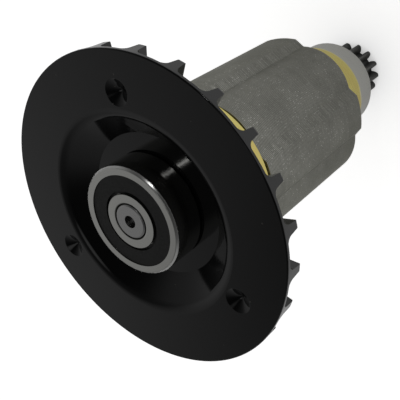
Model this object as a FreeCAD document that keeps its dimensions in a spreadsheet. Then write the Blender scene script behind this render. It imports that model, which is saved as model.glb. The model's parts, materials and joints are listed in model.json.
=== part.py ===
import FreeCAD, Part
import Sketcher
import os
import math

# Rotor of a brushless power tool: a lamination stack with four buried magnets, brass balance rings,
# a moulded cooling fan, a sealed ball bearing at each end and a pinion.
# It stands on its pinion end: the origin is the middle of that end face and +Z runs towards the fan.
# Lengths are in millimetres and angles in degrees.

os.makedirs("parts", exist_ok=True)
doc = FreeCAD.newDocument("rotor")

# Driving dimensions

DRIVING = (
    # Pinion
    ("tooth_count", 14),
    ("gear_module", 0.8),
    ("profile_shift", 0.27),
    ("pressure_angle", 20),
    ("pinion_length", 9.4),
    ("pinion_turn", 2),
    ("pinion_end_chamfer", 0.35),
    ("boss_length", 0.8),
    ("boss_radius", 4.3),
    # Shaft
    ("journal_radius", 3),
    ("core_radius", 4),
    ("shaft_edge", 0.3),
    ("shaft_proud", 0.1),
    ("centre_hole_radius", 1.1),
    ("centre_hole_depth", 3),
    ("centre_hole_point", 0.6),
    # Bearings
    ("bearing_width", 6),
    ("bearing_radius", 9.5),
    ("bearing_edge", 0.4),
    ("inner_face_radius", 4.72),
    ("inner_shoulder_radius", 5.1),
    ("outer_shoulder_radius", 7.4),
    ("seal_radius", 8.05),
    ("seal_recess", 0.15),
    ("seal_thickness", 0.7),
    ("seal_plate_radius", 5.25),
    ("seal_lip_thickness", 0.25),
    ("lip_clearance", 0.05),
    ("ball_count", 7),
    ("ball_radius", 1.75),
    ("ball_circle", 6.25),
    ("ball_clearance", 0.03),
    ("groove_radius", 1.82),
    ("cage_wall", 1.3),
    ("cage_floor", 0.3),
    ("cage_rise", 0.7),
    ("cage_clearance", 0.06),
    # Spacers
    ("rear_spacer_length", 0.35),
    ("spacer_radius", 4.6),
    ("fan_spacer_length", 2.9),
    ("fan_spacer_radius", 7),
    # Balance rings
    ("rear_ring_radius", 10.35),
    ("rear_ring_length", 9.75),
    ("rear_ring_edge", 0.3),
    ("flange_radius", 13.5),
    ("flange_thickness", 0.8),
    ("front_ring_radius", 15),
    ("front_ring_length", 4),
    ("front_ring_edge", 0.4),
    # Lamination stack
    ("stack_length", 32.3),
    ("lobe_radius", 15.25),
    ("lobe_width", 6),
    ("lobe_flank", 45),
    ("lobe_foot", 2.2),
    ("waist_radius", 14.25),
    ("land_radius", 9.45),
    ("land_offset", 5.64),
    ("pole_count", 4),
    # Magnets
    ("magnet_width", 14),
    ("magnet_thickness", 2.6),
    ("magnet_reach", 11.6),
    ("magnet_inset", 0.2),
    ("magnet_clearance", 0.05),
    # Fan
    ("fan_radius", 27.5),
    ("fan_height", 9.3),
    ("fan_turn", 1),
    ("disc_thickness", 0.6),
    ("rim_round", 0.25),
    ("dish_depth", 4.25),
    ("dish_floor_radius", 12.7),
    ("dish_slope", 43),
    ("dish_wall", 1.5),
    ("lip_round", 2.6),
    ("hub_radius", 7.5),
    ("hub_gap", 0.2),
    ("blade_count", 24),
    ("blade_tip_depth", 3.77),
    ("blade_tip_width", 1.1),
    ("blade_tip_round", 0.45),
    ("blade_end_round", 0.6),
    ("blade_draft", 7.5),
    ("blade_root_round", 1.2),
    ("dimple_count", 3),
    ("dimple_circle", 20.8),
    ("dimple_radius", 2.2),
    ("dimple_depth", 1.35),
    ("dimple_mouth", 0.15),
    ("dimple_wall", 0.5),
)

dims = doc.addObject("Spreadsheet::Sheet", "dims")
for row, (alias, number) in enumerate(DRIVING, start=1):
    dims.set("A%d" % row, alias)
    dims.set("B%d" % row, str(number))
    dims.setAlias("B%d" % row, alias)
doc.recompute()

UP = FreeCAD.Vector(0, 0, 1)

# Heights along the shaft, each written as an expression on the sheet

REAR_BEARING = "(dims.pinion_length + dims.boss_length)"
REAR_SPACER = "(%s + dims.bearing_width)" % REAR_BEARING
REAR_RING = "(%s + dims.rear_spacer_length)" % REAR_SPACER
STACK = "(%s + dims.rear_ring_length + dims.flange_thickness)" % REAR_RING
FRONT_RING = "(%s + dims.stack_length)" % STACK
FAN_SPACER = "(%s + dims.front_ring_length)" % FRONT_RING
FAN = "(%s + dims.fan_spacer_length)" % FAN_SPACER
FRONT_BEARING = "(%s + dims.fan_height - dims.dish_depth + dims.hub_gap)" % FAN
SHAFT_END = "(%s + dims.bearing_width + dims.shaft_proud)" % FRONT_BEARING


def size(alias):
    """A driving dimension as a number."""
    return float(dims.get(alias))


def place(item, height, turn="0"):
    """Stand an object at a height on the shaft, turned about it, both bound to the sheet."""
    item.setExpression(".Placement.Base.z", height)
    item.setExpression(".Placement.Rotation.Angle", turn)


def bind(item, **sizes):
    """Bind properties of an object to expressions."""
    for name, formula in sizes.items():
        item.setExpression(name, formula)


def plane(body, role):
    """One of a body's own origin planes."""
    for feature in body.Origin.OriginFeatures:
        if feature.Role == role:
            return feature
    raise RuntimeError("no plane " + role)


def outline(sketch, corners):
    """A closed outline whose corners lie at (radius, height), both expressions on the sheet."""
    count = len(corners)
    start = [FreeCAD.Vector(10 + 5 * math.cos(k), 10 + 5 * math.sin(k), 0) for k in range(count)]
    for k in range(count):
        sketch.addGeometry(Part.LineSegment(start[k], start[(k + 1) % count]), False)
    for k in range(count):
        sketch.addConstraint(Sketcher.Constraint("Coincident", k, 2, (k + 1) % count, 1))
    for k, (radius, height) in enumerate(corners):
        for kind, axis, formula in (("DistanceX", -2, radius), ("DistanceY", -1, height)):
            if formula == "0":
                sketch.addConstraint(Sketcher.Constraint("PointOnObject", k, 1, axis))
                continue
            number = sketch.addConstraint(Sketcher.Constraint(kind, -1, 1, k, 1, 1.0))
            sketch.setExpression("Constraints[%d]" % number, formula)


def turned(label, corners, height="0"):
    """A turned piece: its half outline revolved about the shaft's axis."""
    body = doc.addObject("PartDesign::Body", label)
    body.Label = label
    sketch = body.newObject("Sketcher::SketchObject", label + "_outline")
    sketch.AttachmentSupport = [(plane(body, "XZ_Plane"), "")]
    sketch.MapMode = "FlatFace"
    outline(sketch, corners)
    turn = body.newObject("PartDesign::Revolution", label + "_turn")
    turn.Profile = sketch
    turn.ReferenceAxis = (sketch, ["V_Axis"])
    turn.Angle = 360
    body.setExpression(".Placement.Base.z", height)
    return body


def rounded(body, radius, formula, *places):
    """Round the circular edges of a turned piece that lie at each (radius, height)."""
    doc.recompute()
    base = body.Tip
    names = []
    for number, edge in enumerate(base.Shape.Edges, start=1):
        if not isinstance(edge.Curve, Part.Circle):
            continue
        for reach, rise in places:
            if abs(edge.Curve.Radius - reach) < 1e-4 and abs(edge.Curve.Center.z - rise) < 1e-4:
                names.append("Edge%d" % number)
    if len(names) != len(places):
        raise RuntimeError("an edge of %s was not found" % body.Label)
    fillet = body.newObject("PartDesign::Fillet", body.Name + "_round")
    fillet.Base = (base, names)
    fillet.Radius = radius
    fillet.setExpression("Radius", formula)
    return fillet


def cut(label, base, tool):
    """What is left of one object when another is taken from it."""
    result = doc.addObject("Part::Cut", label)
    result.Label = label
    result.Base = base
    result.Tool = tool
    return result


def fused(label, shapes):
    """Several objects made one."""
    result = doc.addObject("Part::MultiFuse", label)
    result.Label = label
    result.Shapes = shapes
    return result


def common(label, base, tool):
    """What two objects share."""
    result = doc.addObject("Part::Common", label)
    result.Label = label
    result.Base = base
    result.Tool = tool
    return result


def cylinder(label, radius, height):
    """A cylinder on the axis, standing on the plane of its own origin."""
    result = doc.addObject("Part::Cylinder", label)
    bind(result, Radius=radius, Height=height)
    return result


def collar(label, bore, radius, length, height):
    """A plain ring on the shaft."""
    return turned(label, [
        (bore, "0"),
        (radius, "0"),
        (radius, length),
        (bore, length),
    ], height)


# Shaft, with a centre hole in each end

def make_shaft():
    journal = "dims.journal_radius"
    core = "dims.core_radius"
    hole = "dims.centre_hole_radius"
    bottom = "dims.centre_hole_depth"
    point = "(dims.centre_hole_depth + dims.centre_hole_point)"
    shaft = turned("shaft", [
        ("0", point),
        (hole, bottom),
        (hole, "0"),
        (journal, "0"),
        (journal, REAR_RING),
        (core, REAR_RING),
        (core, FRONT_BEARING),
        (journal, FRONT_BEARING),
        (journal, SHAFT_END),
        (hole, SHAFT_END),
        (hole, SHAFT_END + " - " + bottom),
        ("0", SHAFT_END + " - " + point),
    ])
    ends = (0, shaft.evalExpression(SHAFT_END))
    rounded(shaft, size("shaft_edge"), "dims.shaft_edge", *[(size("journal_radius"), end) for end in ends])
    return shaft


# Pinion, whose flanks are involutes of the base circle

def involute(base_radius, roll):
    """A point of the involute at a roll angle in radians."""
    x = base_radius * (math.cos(roll) + roll * math.sin(roll))
    y = base_radius * (math.sin(roll) - roll * math.cos(roll))
    return x, y


def tooth_flank(base_radius, inner_radius, outer_radius, half_angle, side):
    """Three points of one flank, turned so that the tooth is centred on angle zero."""
    points = []
    for share in (0.0, 0.5, 1.0):
        reach = max(inner_radius, base_radius) * (1 - share) + outer_radius * share
        roll = math.sqrt(max((reach / base_radius) ** 2 - 1, 0))
        x, y = involute(base_radius, roll)
        angle = half_angle - math.atan2(y, x)
        points.append(FreeCAD.Vector(reach * math.cos(angle), side * reach * math.sin(angle), 0))
    return points


def make_pinion():
    count = int(size("tooth_count"))
    module = size("gear_module")
    pressure = math.radians(size("pressure_angle"))
    shift = size("profile_shift")
    pitch_radius = module * count / 2
    base_radius = pitch_radius * math.cos(pressure)
    root_radius = pitch_radius - module * (1.25 - shift)
    tip_radius = pitch_radius + module * (1 + shift)
    # Half the tooth's angle on the base circle
    half_pitch_tooth = (math.pi / 2 + 2 * shift * math.tan(pressure)) / count
    half_angle = half_pitch_tooth + math.tan(pressure) - pressure
    right = tooth_flank(base_radius, root_radius, tip_radius, half_angle, -1)
    left = tooth_flank(base_radius, root_radius, tip_radius, half_angle, 1)
    edges = []
    for number in range(count):
        turn = 360 * number / count
        step = 2 * math.pi / count

        def turned_point(point, radius=None):
            reach = point if radius is None else point * (radius / point.Length)
            return FreeCAD.Rotation(UP, turn).multVec(reach)

        foot_right = turned_point(right[0], root_radius)
        foot_left = turned_point(left[0], root_radius)
        edges.append(Part.LineSegment(foot_right, turned_point(right[0])).toShape())
        edges.append(Part.Arc(*[turned_point(point) for point in right]).toShape())
        tip_middle = turned_point(FreeCAD.Vector(tip_radius, 0, 0))
        edges.append(Part.Arc(turned_point(right[2]), tip_middle, turned_point(left[2])).toShape())
        edges.append(Part.Arc(*[turned_point(point) for point in reversed(left)]).toShape())
        edges.append(Part.LineSegment(turned_point(left[0]), foot_left).toShape())
        gap_middle = turned_point(FreeCAD.Vector(
            root_radius * math.cos(step / 2), root_radius * math.sin(step / 2), 0))
        next_foot = FreeCAD.Rotation(UP, math.degrees(step)).multVec(foot_right)
        edges.append(Part.Arc(foot_left, gap_middle, next_foot).toShape())
    face = Part.Face(Part.Wire(Part.__sortEdges__(edges)))
    teeth = face.extrude(UP * size("pinion_length"))
    # The free end of the teeth is chamfered, and the other end has the shoulder for the bearing
    chamfer = size("pinion_end_chamfer")
    length = size("pinion_length")
    total = length + size("boss_length")
    envelope = Part.makeCone(tip_radius - chamfer, tip_radius, chamfer)
    envelope = envelope.fuse(Part.makeCylinder(tip_radius, length - chamfer, UP * chamfer))
    boss = Part.makeCylinder(size("boss_radius"), total)
    bore = Part.makeCylinder(size("journal_radius"), total)
    pinion = doc.addObject("Part::Feature", "pinion")
    pinion.Label = "pinion"
    pinion.Shape = teeth.common(envelope).fuse(boss).cut(bore).removeSplitter()
    pinion.Placement = FreeCAD.Placement(FreeCAD.Vector(), FreeCAD.Rotation(UP, size("pinion_turn")))
    return pinion


# Sealed deep groove ball bearing: two rings, balls, cage and two seals

def ring_of_balls(label, radius, height):
    """Balls on the ball circle, level with the middle of the bearing."""
    balls = []
    for number in range(int(size("ball_count"))):
        ball = doc.addObject("Part::Sphere", "%s_%d" % (label, number + 1))
        bind(ball, Radius=radius)
        angle = "(360 * %d / dims.ball_count)" % number
        ball.setExpression(".Placement.Base.x", "dims.ball_circle * cos(%s)" % angle)
        ball.setExpression(".Placement.Base.y", "dims.ball_circle * sin(%s)" % angle)
        ball.setExpression(".Placement.Base.z", height)
        balls.append(ball)
    return balls


def make_bearing(end, base):
    width = "dims.bearing_width"
    middle = "(%s + dims.bearing_width / 2)" % base
    edge = "dims.bearing_edge"
    face = "dims.inner_face_radius"
    depth = "(dims.seal_recess + dims.seal_thickness)"
    name = end + "_bearing_"

    # Inner ring, stepped down where the seal lips run
    shoulder = "dims.inner_shoulder_radius"
    bore = "dims.journal_radius"
    blank = turned(name + "inner_blank", [
        (bore, "0"),
        (face, "0"),
        (face, depth),
        (shoulder, depth),
        (shoulder, "%s - %s" % (width, depth)),
        (face, "%s - %s" % (width, depth)),
        (face, width),
        (bore, width),
    ], base)
    ends = (0, size("bearing_width"))
    rounded(blank, size("bearing_edge"), edge, *[(size("journal_radius"), end) for end in ends])
    torus = doc.addObject("Part::Torus", name + "inner_track")
    bind(torus, Radius2="dims.groove_radius",
         Radius1="dims.ball_circle - dims.ball_radius - dims.ball_clearance + dims.groove_radius")
    place(torus, middle)
    inner = cut(name + "inner_ring", blank, torus)

    # Outer ring, stepped for the seals
    outside = "dims.bearing_radius"
    seat = "dims.seal_radius"
    reach = "dims.outer_shoulder_radius"
    blank = turned(name + "outer_blank", [
        (seat, "0"),
        (outside, "0"),
        (outside, width),
        (seat, width),
        (seat, "%s - %s" % (width, depth)),
        (reach, "%s - %s" % (width, depth)),
        (reach, depth),
        (seat, depth),
    ], base)
    rounded(blank, size("bearing_edge"), edge, *[(size("bearing_radius"), end) for end in ends])
    torus = doc.addObject("Part::Torus", name + "outer_track")
    bind(torus, Radius2="dims.groove_radius",
         Radius1="dims.ball_circle + dims.ball_radius + dims.ball_clearance - dims.groove_radius")
    place(torus, middle)
    outer = cut(name + "outer_ring", blank, torus)

    # Balls
    balls = doc.addObject("Part::Compound", name + "balls")
    balls.Label = name + "balls"
    balls.Links = ring_of_balls(name + "ball", "dims.ball_radius", middle)

    # Crown cage, open on one side
    low = "%s - dims.ball_radius - dims.cage_clearance - dims.cage_floor" % middle
    inside = "(dims.ball_circle - dims.cage_wall / 2)"
    outside = "(dims.ball_circle + dims.cage_wall / 2)"
    tall = "(dims.ball_radius + dims.cage_clearance + dims.cage_floor + dims.cage_rise)"
    blank = turned(name + "cage_blank", [
        (inside, "0"),
        (outside, "0"),
        (outside, tall),
        (inside, tall),
    ], low)
    pockets = doc.addObject("Part::Compound", name + "cage_pockets")
    pockets.Links = ring_of_balls(name + "pocket", "dims.ball_radius + dims.cage_clearance", middle)
    cage = cut(name + "cage", blank, pockets)

    # Seals: a disc pressed into the outer ring, stepped down on its outside to a thin lip
    seals = []
    lip = "(%s + dims.lip_clearance)" % face
    plate = "dims.seal_plate_radius"
    thin = "dims.seal_lip_thickness"
    rise = "dims.seal_thickness"
    seals.append(turned(name + "lower_seal", [
        (lip, "%s - %s" % (rise, thin)),
        (plate, "%s - %s" % (rise, thin)),
        (plate, "0"),
        (seat, "0"),
        (seat, rise),
        (lip, rise),
    ], "%s + dims.seal_recess" % base))
    seals.append(turned(name + "upper_seal", [
        (lip, "0"),
        (seat, "0"),
        (seat, rise),
        (plate, rise),
        (plate, thin),
        (lip, thin),
    ], "%s + dims.bearing_width - dims.seal_recess - dims.seal_thickness" % base))
    return [inner, outer, balls, cage] + seals


# Lamination stack: a round core, four lobes with sloping flanks and four flatter pole arcs between them

def around(item, radius, number, height):
    """Set an object out at a radius, on pole number."""
    angle = "((%d + 0.5) * 360 / dims.pole_count)" % number
    item.setExpression(".Placement.Base.x", "(%s) * cos(%s)" % (radius, angle))
    item.setExpression(".Placement.Base.y", "(%s) * sin(%s)" % (radius, angle))
    item.setExpression(".Placement.Base.z", height)
    item.setExpression(".Placement.Rotation.Angle", angle)


def make_stack():
    rise = "dims.stack_length"
    core = cylinder("stack_core", "dims.waist_radius", rise)
    place(core, STACK)
    poles = int(size("pole_count"))
    parts = [core]
    blank = cylinder("lobe_blank", "dims.lobe_radius", rise)
    place(blank, STACK)
    crown = "dims.lobe_width / 2"
    spread = "(%s + dims.lobe_foot * tan(dims.lobe_flank))" % crown
    bars = []
    for number in range(poles):
        bar = doc.addObject("Part::Wedge", "lobe_bar_%d" % (number + 1))
        bind(bar, Ymin="dims.lobe_radius - dims.lobe_foot", Ymax="dims.lobe_radius",
             Xmin="-" + spread, Xmax=spread, X2min="-" + crown, X2max=crown,
             Zmin="0", Zmax=rise, Z2min="0", Z2max=rise)
        place(bar, STACK, "%d * 360 / dims.pole_count" % number)
        bars.append(bar)
    parts.append(common("lobes", blank, fused("lobe_bars", bars)))
    for number in range(poles):
        land = cylinder("land_%d" % (number + 1), "dims.land_radius", rise)
        around(land, "dims.land_offset", number, STACK)
        parts.append(land)
    solid = fused("stack_solid", parts)

    slots = [cylinder("stack_bore", "dims.core_radius", rise)]
    place(slots[0], STACK)
    magnets = []
    for number in range(poles):
        slots.append(magnet_block("slot_%d" % (number + 1), number, "dims.magnet_clearance",
                                  STACK, "dims.stack_length"))
        magnet = magnet_block("magnet_%d" % (number + 1), number, "0",
                              STACK + " + dims.magnet_inset",
                              "dims.stack_length - 2 * dims.magnet_inset")
        magnet.Label = "magnet_%d" % (number + 1)
        magnets.append(magnet)
    stack = cut("lamination_stack", solid, fused("stack_openings", slots))
    return [stack] + magnets


def magnet_block(label, number, room, height, rise):
    """A block under pole number, grown by room on every long side."""
    block = doc.addObject("Part::Box", label)
    bind(block, Length="dims.magnet_thickness + 2 * (%s)" % room,
         Width="dims.magnet_width + 2 * (%s)" % room, Height=rise)
    angle = "((%d + 0.5) * 360 / dims.pole_count)" % number
    inner = "(dims.magnet_reach - dims.magnet_thickness - %s)" % room
    half = "(dims.magnet_width / 2 + %s)" % room
    block.setExpression(".Placement.Base.x", "%s * cos(%s) + %s * sin(%s)" % (inner, angle, half, angle))
    block.setExpression(".Placement.Base.y", "%s * sin(%s) - %s * cos(%s)" % (inner, angle, half, angle))
    block.setExpression(".Placement.Base.z", height)
    block.setExpression(".Placement.Rotation.Angle", angle)
    return block


# Brass balance rings: the rear one has a flange that closes the magnet slots

def make_rear_ring():
    edge = "dims.rear_ring_edge"
    total = "dims.rear_ring_length + dims.flange_thickness"
    return turned("rear_balance_ring", [
        ("dims.core_radius", "0"),
        ("dims.rear_ring_radius - " + edge, "0"),
        ("dims.rear_ring_radius", edge),
        ("dims.rear_ring_radius", "dims.rear_ring_length"),
        ("dims.flange_radius", "dims.rear_ring_length"),
        ("dims.flange_radius", total),
        ("dims.core_radius", total),
    ], REAR_RING)


def make_front_ring():
    edge = "dims.front_ring_edge"
    return turned("front_balance_ring", [
        ("dims.core_radius", "0"),
        ("dims.front_ring_radius - " + edge, "0"),
        ("dims.front_ring_radius", edge),
        ("dims.front_ring_radius", "dims.front_ring_length - " + edge),
        ("dims.front_ring_radius - " + edge, "dims.front_ring_length"),
        ("dims.core_radius", "dims.front_ring_length"),
    ], FRONT_RING)


# Fan: a dished disc with a hub, and radial blades on its back

SLOPE = "tan(dims.dish_slope)"
FAN_BACK = "(dims.fan_height - dims.disc_thickness)"
FLOOR_FRONT = "(dims.fan_height - dims.dish_depth)"
FLOOR_BACK = "(%s - dims.dish_wall)" % FLOOR_FRONT


def cone_radius(offset, height):
    """Radius of the dish's sloping wall, offset behind its front face, at a height on the fan."""
    corner = "(dims.dish_floor_radius + %s * tan(dims.dish_slope / 2))" % offset
    return "%s + (%s - (%s - %s)) / %s" % (corner, height, FLOOR_FRONT, offset, SLOPE)


def make_fan_core():
    core = turned("fan_core", [
        ("dims.core_radius", "0"),
        ("dims.hub_radius", "0"),
        ("dims.hub_radius", FLOOR_BACK),
        ("dims.dish_floor_radius + dims.dish_wall * tan(dims.dish_slope / 2)", FLOOR_BACK),
        (cone_radius("dims.dish_wall", FAN_BACK), FAN_BACK),
        ("dims.fan_radius", FAN_BACK),
        ("dims.fan_radius", "dims.fan_height"),
        (cone_radius("0", "dims.fan_height"), "dims.fan_height"),
        ("dims.dish_floor_radius", FLOOR_FRONT),
        ("dims.core_radius", FLOOR_FRONT),
    ], FAN)
    slope = math.tan(math.radians(size("dish_slope")))
    lip = size("dish_floor_radius") + size("dish_depth") / slope
    front = size("fan_height")
    rounded(core, size("lip_round"), "dims.lip_round", (lip, front))
    rounded(core, size("rim_round"), "dims.rim_round", (size("fan_radius"), front))
    return core


def make_blade_envelope():
    """Where blades may be: behind the middle of the dish's wall, up to the rim and the tip plane."""
    tips = "(dims.fan_height - dims.blade_tip_depth)"
    root = "(dims.fan_height - dims.disc_thickness / 2)"
    envelope = turned("blade_envelope", [
        (cone_radius("(dims.dish_wall / 2)", tips), tips),
        ("dims.fan_radius", tips),
        ("dims.fan_radius", root),
        (cone_radius("(dims.dish_wall / 2)", root), root),
    ], FAN)
    corner = (size("fan_radius"), size("fan_height") - size("blade_tip_depth"))
    rounded(envelope, size("blade_end_round"), "dims.blade_end_round", corner)
    return envelope


def blade_section():
    """Half width against depth behind the front face: a drafted rib with a flared root."""
    tip = size("blade_tip_depth")
    half = size("blade_tip_width") / 2
    draft = math.radians(size("blade_draft"))
    flare = size("blade_root_round")
    back = size("disc_thickness")
    # The flare meets the disc at a slight angle, a little short of tangent
    dip = 0.03
    centre_depth = back + flare - dip
    centre_width = half + (tip - centre_depth) * math.tan(draft) + flare / math.cos(draft)
    start = (centre_width - flare * math.cos(draft), centre_depth - flare * math.sin(draft))
    low = math.acos((flare - dip) / flare)
    end = (centre_width - flare * math.sin(low), back)
    turn = (math.pi / 2 + draft + low) / 2 - low
    middle = (centre_width - flare * math.sin(low + turn), centre_depth - flare * math.cos(low + turn))
    return half, tip, start, middle, end, back / 4


def make_blades():
    half, tip, start, middle, end, sunk = blade_section()
    top = size("fan_height")
    near = size("dish_floor_radius")

    def point(width, depth):
        return FreeCAD.Vector(near, width, top - depth)

    edges = [Part.LineSegment(point(-half, tip), point(half, tip)).toShape()]
    for side in (1, -1):
        edges.append(Part.LineSegment(point(side * half, tip), point(side * start[0], start[1])).toShape())
        edges.append(Part.Arc(point(side * start[0], start[1]), point(side * middle[0], middle[1]),
                              point(side * end[0], end[1])).toShape())
        edges.append(Part.LineSegment(point(side * end[0], end[1]), point(side * end[0], sunk)).toShape())
    edges.append(Part.LineSegment(point(-end[0], sunk), point(end[0], sunk)).toShape())
    face = Part.Face(Part.Wire(Part.__sortEdges__(edges)))
    past_rim = 1
    length = size("fan_radius") + past_rim - near
    blade = face.extrude(FreeCAD.Vector(length, 0, 0))
    tips = []
    for edge in blade.Edges:
        box = edge.BoundBox
        if box.XLength > length / 2 and abs(box.ZMax - (top - tip)) < 1e-6:
            tips.append(edge)
    blade = blade.makeFillet(size("blade_tip_round"), tips)
    count = int(size("blade_count"))
    copies = []
    for number in range(count):
        copy = blade.copy()
        copy.rotate(FreeCAD.Vector(), UP, 360 * number / count)
        copies.append(copy)
    blades = doc.addObject("Part::Feature", "blades")
    blades.Shape = copies[0].multiFuse(copies[1:])
    place(blades, FAN, "dims.fan_turn")
    return blades


def set_at_dimple(item, number, height):
    """Put an object at dimple number, half-way between two blades."""
    angle = "(dims.fan_turn - 180 / dims.blade_count + %d * 360 / dims.dimple_count)" % number
    item.setExpression(".Placement.Base.x", "dims.dimple_circle * cos(%s)" % angle)
    item.setExpression(".Placement.Base.y", "dims.dimple_circle * sin(%s)" % angle)
    item.setExpression(".Placement.Base.z", height)


def make_fan():
    core = make_fan_core()
    trimmed = common("trimmed_blades", make_blades(), make_blade_envelope())
    bosses = []
    dimples = []
    for number in range(int(size("dimple_count"))):
        boss = cylinder("dimple_boss_%d" % (number + 1), "dims.dimple_radius + dims.dimple_wall",
                        "dims.dimple_depth + dims.dimple_wall - dims.disc_thickness / 2")
        set_at_dimple(boss, number, "%s + dims.fan_height - dims.dimple_depth - dims.dimple_wall" % FAN)
        bosses.append(boss)
        dimple = doc.addObject("Part::Cone", "dimple_%d" % (number + 1))
        bind(dimple, Radius1="0", Radius2="dims.dimple_radius", Height="dims.dimple_depth")
        set_at_dimple(dimple, number, "%s + dims.fan_height - dims.dimple_depth" % FAN)
        dimples.append(dimple)
    solid = fused("fan_solid", [core, trimmed] + bosses)
    sunk = cut("fan_sunk", solid, fused("dimples", dimples))
    doc.recompute()
    front = max(vertex.Z for vertex in sunk.Shape.Vertexes)
    mouths = []
    for number, edge in enumerate(sunk.Shape.Edges, start=1):
        if isinstance(edge.Curve, Part.Circle) and abs(edge.BoundBox.ZMin - front) < 1e-6:
            if abs(edge.Curve.Radius - size("dimple_radius")) < 1e-6:
                mouths.append((number, size("dimple_mouth"), size("dimple_mouth")))
    fan = doc.addObject("Part::Fillet", "fan")
    fan.Label = "fan"
    fan.Base = sunk
    fan.Edges = mouths
    return fan


SUB_PARTS = [make_shaft(), make_pinion()]
SUB_PARTS += make_bearing("rear", REAR_BEARING)
SUB_PARTS += make_bearing("front", FRONT_BEARING)
SUB_PARTS.append(collar("rear_spacer", "dims.journal_radius", "dims.spacer_radius",
                        "dims.rear_spacer_length", REAR_SPACER))
SUB_PARTS.append(collar("fan_spacer", "dims.core_radius", "dims.fan_spacer_radius",
                        "dims.fan_spacer_length", FAN_SPACER))
SUB_PARTS += make_stack()
SUB_PARTS += [make_rear_ring(), make_front_ring(), make_fan()]
doc.recompute()

for item in doc.Objects:
    if "Invalid" in item.State or "Error" in item.State:
        raise RuntimeError("%s failed: %s" % (item.Label, item.State))

for part in SUB_PARTS:
    shape = part.Shape
    if shape.isNull() or not shape.isValid() or not shape.Solids:
        raise RuntimeError("%s has no sound solid" % part.Label)
    shape.exportStep("parts/%s.step" % part.Label)
    print("%-34s %3d solids %10.2f mm3" % (part.Label, len(shape.Solids), shape.Volume))
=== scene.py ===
import bpy
import json
import math
from mathutils import Matrix, Vector


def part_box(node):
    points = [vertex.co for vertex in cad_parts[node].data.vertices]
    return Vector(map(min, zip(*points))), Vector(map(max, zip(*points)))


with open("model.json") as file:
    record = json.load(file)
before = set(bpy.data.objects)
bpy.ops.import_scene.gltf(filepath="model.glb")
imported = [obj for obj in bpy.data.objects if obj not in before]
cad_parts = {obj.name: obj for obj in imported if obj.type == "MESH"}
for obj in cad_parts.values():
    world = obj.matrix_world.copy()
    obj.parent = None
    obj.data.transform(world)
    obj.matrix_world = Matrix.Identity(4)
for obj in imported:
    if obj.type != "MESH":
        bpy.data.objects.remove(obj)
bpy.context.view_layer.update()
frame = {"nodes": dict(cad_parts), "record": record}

# Looks for the rotor of a power tool: every piece is the CAD solid itself, so this script gives each
# one its finish, and adds the floor, the light and the camera. Lengths are in metres, angles in degrees.

scene = bpy.context.scene
scene.view_settings.view_transform = "Standard"

MM = 0.001

# Camera: solved from the photograph's outlines of the fan, with the image taken as 400 x 400

IMAGE_SIZE = 400
CAMERA_PLACE = Vector((44.26, -77.75, 144.28)) * MM
CAMERA_HEADING = 120.409
CAMERA_DROP = 43.123
CAMERA_ROLL = -124.796
FOCAL_PIXELS = 703.9
CENTRE_PIXEL = (199.55, 182.80)
SENSOR_MM = 36
NEAREST_SEEN = 5 * MM


def way_to(turn, rise):
    """The direction of a turn about +Z and a rise above the floor."""
    turn, rise = math.radians(turn), math.radians(rise)
    return Vector((math.cos(turn) * math.cos(rise), math.sin(turn) * math.cos(rise), math.sin(rise)))


def make_camera():
    forward = way_to(CAMERA_HEADING, -CAMERA_DROP)
    level = forward.cross(Vector((0, 0, 1))).normalized()
    upright = level.cross(forward)
    roll = math.radians(CAMERA_ROLL)
    right = level * math.cos(roll) + upright * math.sin(roll)
    above = upright * math.cos(roll) - level * math.sin(roll)
    data = bpy.data.cameras.new("camera")
    data.sensor_width = SENSOR_MM
    data.lens = FOCAL_PIXELS * SENSOR_MM / IMAGE_SIZE
    data.shift_x = (IMAGE_SIZE / 2 - CENTRE_PIXEL[0]) / IMAGE_SIZE
    data.shift_y = (CENTRE_PIXEL[1] - IMAGE_SIZE / 2) / IMAGE_SIZE
    data.clip_start = NEAREST_SEEN
    camera = bpy.data.objects.new("camera", data)
    scene.collection.objects.link(camera)
    back = -forward
    camera.matrix_world = Matrix((
        (right.x, above.x, back.x, CAMERA_PLACE.x),
        (right.y, above.y, back.y, CAMERA_PLACE.y),
        (right.z, above.z, back.z, CAMERA_PLACE.z),
        (0, 0, 0, 1)))
    scene.camera = camera


make_camera()


# Material helpers

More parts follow.
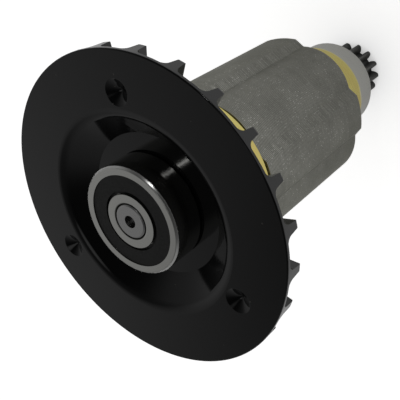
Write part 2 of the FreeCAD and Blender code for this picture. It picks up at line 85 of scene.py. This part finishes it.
class Finish:
    """A material being wired up: short names for the nodes that the finishes use."""

    def __init__(self, name, colour, roughness, metallic=0.0):
        self.material = bpy.data.materials.new(name)
        self.material.use_nodes = True
        self.tree = self.material.node_tree
        self.shader = self.tree.nodes["Principled BSDF"]
        self.shader.inputs["Base Color"].default_value = (*colour, 1)
        self.shader.inputs["Roughness"].default_value = roughness
        self.shader.inputs["Metallic"].default_value = metallic
        self.place = self.node("ShaderNodeTexCoord").outputs["Object"]
        self.bump_link = None

    def node(self, kind, **inputs):
        node = self.tree.nodes.new(kind)
        for name, value in inputs.items():
            self.feed(node.inputs[name.replace("_", " ")], value)
        return node

    def feed(self, socket, value):
        if isinstance(value, bpy.types.NodeSocket):
            self.tree.links.new(value, socket)
        else:
            socket.default_value = value

    def maths(self, operation, *values):
        node = self.tree.nodes.new("ShaderNodeMath")
        node.operation = operation
        for socket, value in zip(node.inputs, values):
            self.feed(socket, value)
        return node.outputs[0]

    def vector(self, operation, *values):
        node = self.tree.nodes.new("ShaderNodeVectorMath")
        node.operation = operation
        for socket, value in zip(node.inputs, values):
            self.feed(socket, value)
        return node.outputs["Value" if operation in ("LENGTH", "DOT_PRODUCT") else "Vector"]

    def mixed_in(self, name, share, value, strength=1.0):
        """Change one of the shader's inputs to a value where a mask is on."""
        socket = self.shader.inputs[name]
        before = socket.links[0].from_socket
        node = self.tree.nodes.new("ShaderNodeMix")
        node.data_type = {"Normal": "VECTOR", "Base Color": "RGBA"}.get(name, "FLOAT")
        kind = node.data_type if node.data_type != "FLOAT" else "VALUE"
        self.feed(node.inputs["Factor"], self.maths("MULTIPLY", share, strength))
        first, second = [one for one in node.inputs if one.type == kind and one.name in "AB"]
        self.feed(first, before)
        self.feed(second, value)
        self.feed(socket, [one for one in node.outputs if one.type == kind][0])

    def axes(self):
        """The surface point's own x, y and z, in metres."""
        split = self.node("ShaderNodeSeparateXYZ")
        self.feed(split.inputs[0], self.place)
        return split.outputs

    def scaled(self, x, y, z):
        """The surface point stretched along each axis."""
        node = self.tree.nodes.new("ShaderNodeMapping")
        self.feed(node.inputs["Vector"], self.place)
        node.inputs["Scale"].default_value = (x, y, z)
        return node.outputs[0]

    def noise(self, vector, scale, detail=2.0, roughness=0.5):
        node = self.node("ShaderNodeTexNoise", Scale=scale, Detail=detail, Roughness=roughness)
        self.feed(node.inputs["Vector"], vector)
        return node.outputs["Fac"]

    def spread(self, value, low, high, to_low, to_high):
        node = self.tree.nodes.new("ShaderNodeMapRange")
        names = ("Value", "From Min", "From Max", "To Min", "To Max")
        for name, number in zip(names, (value, low, high, to_low, to_high)):
            self.feed(node.inputs[name], number)
        return node.outputs["Result"]

    def blend(self, share, first, second):
        node = self.tree.nodes.new("ShaderNodeMix")
        node.data_type = "RGBA"
        self.feed(node.inputs["Factor"], share)
        colours = [socket for socket in node.inputs if socket.type == "RGBA"]
        for socket, value in zip(colours, (first, second)):
            self.feed(socket, value if isinstance(value, bpy.types.NodeSocket) else (*value, 1))
        return [socket for socket in node.outputs if socket.type == "RGBA"][0]

    def specks(self, scale, size, empty):
        """Scattered round specks: a share of the cells is empty, and the others hold one each."""
        cells = self.node("ShaderNodeTexVoronoi", Scale=scale, Randomness=1.0)
        self.feed(cells.inputs["Vector"], self.place)
        number = self.node("ShaderNodeSeparateColor")
        self.feed(number.inputs[0], cells.outputs["Color"])
        there = self.maths("GREATER_THAN", number.outputs[0], empty)
        near = self.spread(cells.outputs["Distance"], size, size * 2, 1, 0)
        return self.maths("MULTIPLY", there, near)

    def colour(self, value):
        self.feed(self.shader.inputs["Base Color"], value)

    def roughness(self, value):
        self.feed(self.shader.inputs["Roughness"], value)

    def bump(self, height, distance, strength=1.0):
        node = self.node("ShaderNodeBump", Strength=strength, Distance=distance)
        self.feed(node.inputs["Height"], height)
        if self.bump_link is not None:
            self.feed(node.inputs["Normal"], self.bump_link)
        self.bump_link = node.outputs["Normal"]
        self.feed(self.shader.inputs["Normal"], self.bump_link)


def lathe_lines(finish, scale):
    """Fine lines left by a lathe: noise drawn out round the shaft, changing with radius and height."""
    x, y, z = finish.axes()
    squares = finish.maths("ADD", finish.maths("MULTIPLY", x, x), finish.maths("MULTIPLY", y, y))
    radius = finish.maths("SQRT", squares)
    join = finish.tree.nodes.new("ShaderNodeCombineXYZ")
    finish.feed(join.inputs[0], radius)
    finish.feed(join.inputs[1], z)
    return finish.noise(join.outputs[0], scale, 3.0, 0.6)


# Finishes

SHEET = 0.35 * MM
FLANK_LEAN = (0.8, 0.97)
FLANK_CONTRAST = 0.4
ROLL_BEGINS = (0.12, 0.3)
ROLL_ENDS = (0.9, 0.97)
BEARING_CORNER = (9 * MM, 10 * MM)
SHAFT_SEAM = (2.9 * MM, 3.6 * MM)
# Heights above the rear brass ring's lowest edge over which its painted highlight fades out
PAINTED_GLINT_RIM = (0.4 * MM, 0.9 * MM)


def fan_plastic():
    """Black moulded plastic with a clear gloss, faint flow marks and a few grains of dust."""
    finish = Finish("fan_plastic", (0.008, 0.008, 0.0085), 0.08)
    flow = finish.noise(finish.place, 160, 3.0)
    dust = finish.specks(scale=420, size=0.035, empty=0.72)
    finish.colour(finish.blend(dust, (0.0075, 0.008, 0.0082), (0.16, 0.15, 0.14)))
    gloss = finish.spread(flow, 0.3, 0.7, 0.07, 0.1)
    finish.roughness(finish.maths("ADD", gloss, finish.maths("MULTIPLY", dust, 0.5)))
    finish.bump(flow, distance=0.03 * MM, strength=0.15)
    return finish


def stack_steel():
    """Coated sheets seen edge on: a fine line between them, bright grinding specks and stains."""
    finish = Finish("stack_steel", (0.23, 0.23, 0.2), 0.4, 1.0)
    height = finish.axes()[2]
    ridge = finish.spread(finish.maths("PINGPONG", height, SHEET / 2), 0, SHEET / 2, 0, 1)
    sheets = finish.maths("FLOOR", finish.maths("DIVIDE", height, SHEET))
    shade = finish.tree.nodes.new("ShaderNodeTexWhiteNoise")
    shade.noise_dimensions = "1D"
    finish.feed(shade.inputs["W"], sheets)
    grain = finish.noise(finish.scaled(1, 1, 3), 3200, 3.0, 0.75)
    stains = finish.noise(finish.place, 120, 4.0, 0.65)
    tone = finish.maths("ADD", finish.maths("MULTIPLY", shade.outputs["Value"], 0.1),
                        finish.spread(grain, 0.3, 0.75, 0.0, 0.7))
    tone = finish.maths("ADD", tone, finish.spread(ridge, 0, 0.7, -0.75, 0.25))
    shape = finish.node("ShaderNodeNewGeometry")
    flat = finish.vector("MULTIPLY", shape.outputs["Position"], (1, 1, 0))
    lean = finish.vector("DOT_PRODUCT", shape.outputs["Normal"], finish.vector("NORMALIZE", flat))
    flank = finish.spread(lean, *FLANK_LEAN, FLANK_CONTRAST, 0)
    uneven = finish.maths("MULTIPLY", flank, finish.spread(shade.outputs["Value"], 0, 1, -0.5, 0.5))
    tone = finish.maths("ADD", tone, uneven)
    tone = finish.maths("ADD", tone, finish.spread(stains, 0.35, 0.65, -0.16, 0.16))
    steel = finish.blend(tone, (0.15, 0.15, 0.133), (0.41, 0.41, 0.373))
    fine = finish.specks(scale=2900, size=0.14, empty=0.68)
    glints = finish.maths("MULTIPLY", fine, finish.spread(stains, 0.42, 0.6, 0.15, 0.7))
    finish.colour(finish.blend(glints, steel, (0.95, 0.95, 0.9)))
    finish.shader.inputs["Specular Tint"].default_value = (0.68, 0.68, 0.645, 1)
    finish.roughness(finish.spread(grain, 0.3, 0.7, 0.34, 0.5))
    finish.bump(ridge, distance=0.02 * MM, strength=0.5)
    finish.bump(grain, distance=0.03 * MM, strength=0.6)
    return finish


def turned_metal(name, dark, light, low, high, lines=2500, depth=0.006 * MM):
    """Metal from a lathe: its fine lines vary from dark to light, and from low to high roughness."""
    finish = Finish(name, light, low, 1.0)
    cuts = lathe_lines(finish, lines)
    finish.colour(finish.blend(cuts, dark, light))
    finish.roughness(finish.spread(cuts, 0.3, 0.7, low, high))
    finish.bump(cuts, depth, 0.4)
    return finish


def rounded_corner(finish, nearest, furthest):
    """A mask that is on where a turned piece's corner rolls over, between two radii."""
    shape = finish.node("ShaderNodeNewGeometry")
    flat = finish.vector("MULTIPLY", shape.outputs["Position"], (1, 1, 0))
    radius = finish.vector("LENGTH", flat)
    normal = finish.node("ShaderNodeSeparateXYZ")
    finish.feed(normal.inputs[0], shape.outputs["Normal"])
    rise = normal.outputs[2]
    slope = finish.maths("ABSOLUTE", rise)
    begins = finish.spread(slope, *ROLL_BEGINS, 0, 1)
    mask = finish.maths("MULTIPLY", begins, finish.spread(slope, *ROLL_ENDS, 1, 0))
    mask = finish.maths("MULTIPLY", mask, finish.maths("GREATER_THAN", radius, nearest))
    mask = finish.maths("MULTIPLY", mask, finish.maths("LESS_THAN", radius, furthest))
    return mask, finish.vector("NORMALIZE", flat), rise


def bearing_steel():
    """Ground rings: the outside corner carries a painted highlight, and painted shade lies dark round
    the shaft.
    """
    finish = turned_metal("bearing_steel", (0.55, 0.55, 0.525), (0.66, 0.66, 0.63), 0.13, 0.19,
                          lines=4000, depth=0.002 * MM)
    # Painted highlight: the outside corner gets a lighter colour, and its normals are bent to a flat
    # slope so that it catches the lamp as a streak.
    painted_highlight, outward, rise = rounded_corner(finish, *BEARING_CORNER)
    away = finish.node("ShaderNodeCombineXYZ")
    finish.feed(away.inputs[2], finish.maths("SIGN", rise))
    slope = finish.vector("NORMALIZE", finish.vector("ADD", outward, away.outputs[0]))
    finish.mixed_in("Normal", painted_highlight, slope, 0.85)
    finish.mixed_in("Roughness", painted_highlight, 0.24)
    finish.mixed_in("Base Color", painted_highlight, (0.97, 0.97, 0.95, 1))
    # Painted shade: the inner rings' rounded bore edge next to the shaft is coloured nearly black, as
    # the shade in the gap.
    painted_seam_shade = rounded_corner(finish, *SHAFT_SEAM)[0]
    finish.mixed_in("Base Color", painted_seam_shade, (0.04, 0.04, 0.035, 1))
    return finish


def brass():
    """Turned brass: browner where it was handled, with a painted highlight, pale and glossier, along the
    rear ring's rim.
    """
    finish = turned_metal("brass", (0.72, 0.59, 0.17), (0.88, 0.8, 0.29), 0.16, 0.26)
    stains = finish.noise(finish.place, 110, 2.0)
    finish.mixed_in("Base Color", finish.spread(stains, 0.48, 0.62, 0, 0.22), (0.64, 0.42, 0.15, 1))
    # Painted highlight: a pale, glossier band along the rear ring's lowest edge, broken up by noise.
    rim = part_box("rear_balance_ring")[0].z
    near = finish.spread(finish.axes()[2], rim + PAINTED_GLINT_RIM[0], rim + PAINTED_GLINT_RIM[1], 1, 0)
    patches = finish.spread(finish.noise(finish.place, 90, 1.0), 0.42, 0.55, 0.15, 1)
    painted_highlight = finish.maths("MULTIPLY", near, patches)
    finish.mixed_in("Base Color", painted_highlight, (0.99, 0.97, 0.88, 1))
    finish.mixed_in("Roughness", painted_highlight, 0.1)
    return finish


def seal_rubber():
    """Plain matt rubber with a fine grain."""
    finish = Finish("seal_rubber", (0.015, 0.0155, 0.014), 0.5)
    grain = finish.noise(finish.place, 3000, 3.0)
    finish.roughness(finish.spread(grain, 0.3, 0.7, 0.42, 0.58))
    finish.bump(grain, distance=0.01 * MM, strength=0.4)
    return finish


def nylon():
    """Brown moulded nylon, for the hidden cages."""
    finish = Finish("cage_nylon", (0.09, 0.05, 0.025), 0.5)
    finish.bump(finish.noise(finish.place, 2000, 2.0), distance=0.01 * MM, strength=0.3)
    return finish


FINISHES = {
    "shaft_steel": turned_metal("shaft_steel", (0.42, 0.42, 0.42), (0.62, 0.62, 0.61), 0.22, 0.34),
    "gear_steel": turned_metal("gear_steel", (0.16, 0.16, 0.155), (0.3, 0.3, 0.29), 0.3, 0.42),
    "lamination_steel": stack_steel(),
    "magnet": turned_metal("magnet_plate", (0.5, 0.5, 0.5), (0.6, 0.6, 0.6), 0.25, 0.35),
    "brass": brass(),
    "fan_plastic": fan_plastic(),
    "bearing_steel": bearing_steel(),
    "ball_steel": turned_metal("ball_steel", (0.7, 0.7, 0.7), (0.8, 0.8, 0.8), 0.05, 0.08),
    "cage_nylon": nylon(),
    "seal_rubber": seal_rubber(),
}

for entry in frame["record"]["subparts"]:
    piece = frame["nodes"][entry["node"]]
    piece.data.materials.clear()
    piece.data.materials.append(FINISHES[entry["material_slot"]].material)


# Floor, light and surroundings. Levels are radiance, and white to the camera is 1

FLOOR_SPAN = 3.0
FLOOR_TO_CAMERA = 1.0
FLOOR_TO_PIECES = 0.6
SHADOW_REACH = 0.15
SHADOW_TO_CAMERA = 0.5
SHADOW_TO_PIECES = 3
TURN_TO_CAMERA = -60.35
SIDE_LEVEL = 0.19
SIDE_FADE = (-0.35, 0.2)
SIDE_SHADE = 0.3
WALL_FADE = (0.4, 0.95)
BRIGHT_TURN = 104
BRIGHT_RISE = 33
BRIGHT_SPREAD = 28
BRIGHT_LEVEL = 0.12
OVERHEAD_SPREAD = 15
OVERHEAD_LEVEL = 0.5
KEY_TURN = -22
KEY_RISE = 43
KEY_REACH = 0.6
KEY_SIZE = (0.05, 0.04)
KEY_GLOW = 15.0


def make_floor():
    """A white floor with the object's shadow: it glows to the camera and, less, in the metal."""
    half = FLOOR_SPAN / 2
    corners = [(-half, -half, 0), (half, -half, 0), (half, half, 0), (-half, half, 0)]
    mesh = bpy.data.meshes.new("floor")
    mesh.from_pydata(corners, [], [(0, 1, 2, 3)])
    floor = bpy.data.objects.new("floor", mesh)
    scene.collection.objects.link(floor)
    finish = Finish("floor_white", (0.9, 0.9, 0.9), 0.9)
    seen = finish.tree.nodes.new("ShaderNodeLightPath").outputs["Is Camera Ray"]
    cover = finish.node("ShaderNodeAmbientOcclusion", Distance=SHADOW_REACH)
    glow = finish.spread(seen, 0, 1, FLOOR_TO_PIECES, FLOOR_TO_CAMERA)
    depth = finish.spread(seen, 0, 1, SHADOW_TO_PIECES, SHADOW_TO_CAMERA)
    open_sky = finish.maths("POWER", cover.outputs["AO"], depth)
    lit = finish.node("ShaderNodeEmission", Strength=finish.maths("MULTIPLY", glow, open_sky))
    both = finish.tree.nodes.new("ShaderNodeAddShader")
    finish.feed(both.inputs[0], finish.shader.outputs["BSDF"])
    finish.feed(both.inputs[1], lit.outputs[0])
    finish.feed(finish.tree.nodes["Material Output"].inputs["Surface"], both.outputs[0])
    mesh.materials.append(finish.material)


def make_world():
    """Plain walls, dark on the camera's side, with a paler patch beyond the object and one overhead."""
    world = bpy.data.worlds.new("surroundings")
    scene.world = world
    world.use_nodes = True
    tree = world.node_tree
    back = tree.nodes["Background"]
    back.inputs["Color"].default_value = (1, 1, 1, 1)
    where = tree.nodes.new("ShaderNodeTexCoord").outputs["Generated"]

    def ramp(value, low, high, to_low, to_high):
        node = tree.nodes.new("ShaderNodeMapRange")
        node.interpolation_type = "SMOOTHSTEP"
        tree.links.new(value, node.inputs["Value"])
        names = ("From Min", "From Max", "To Min", "To Max")
        for name, number in zip(names, (low, high, to_low, to_high)):
            node.inputs[name].default_value = number
        return node.outputs["Result"]

    def along(way):
        node = tree.nodes.new("ShaderNodeVectorMath")
        node.operation = "DOT_PRODUCT"
        tree.links.new(where, node.inputs[0])
        node.inputs[1].default_value = way
        return node.outputs["Value"]

    def joined(operation, first, second):
        node = tree.nodes.new("ShaderNodeMath")
        node.operation = operation
        tree.links.new(first, node.inputs[0])
        tree.links.new(second, node.inputs[1])
        return node.outputs[0]

    def patch(way, spread, level):
        return ramp(along(way), math.cos(math.radians(spread)), 1.0, 0, level)

    walls = ramp(along((0, 0, 1)), *WALL_FADE, SIDE_LEVEL, SIDE_LEVEL / 3)
    side = ramp(along(way_to(TURN_TO_CAMERA, 0)), *SIDE_FADE, 1.0, SIDE_SHADE)
    beyond = patch(way_to(BRIGHT_TURN, BRIGHT_RISE), BRIGHT_SPREAD, BRIGHT_LEVEL)
    overhead = patch((0, 0, 1), OVERHEAD_SPREAD, OVERHEAD_LEVEL)
    level = joined("ADD", joined("MULTIPLY", walls, side), joined("ADD", beyond, overhead))
    path = tree.nodes.new("ShaderNodeLightPath")
    tree.links.new(joined("MAXIMUM", level, path.outputs["Is Camera Ray"]), back.inputs["Strength"])


def make_key():
    """A small soft lamp beside the camera, for the highlights on the bearing and in the dish."""
    data = bpy.data.lights.new("key", "AREA")
    data.shape = "ELLIPSE"
    data.size, data.size_y = KEY_SIZE
    area = KEY_SIZE[0] * KEY_SIZE[1] * math.pi / 4
    data.energy = KEY_GLOW * math.pi * area
    key = bpy.data.objects.new("key", data)
    scene.collection.objects.link(key)
    aim = Vector((0, 0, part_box("fan")[1].z))
    way = way_to(KEY_TURN, KEY_RISE)
    key.location = aim + way * KEY_REACH
    key.rotation_euler = way.to_track_quat("Z", "Y").to_euler()


make_key()
make_floor()
make_world()
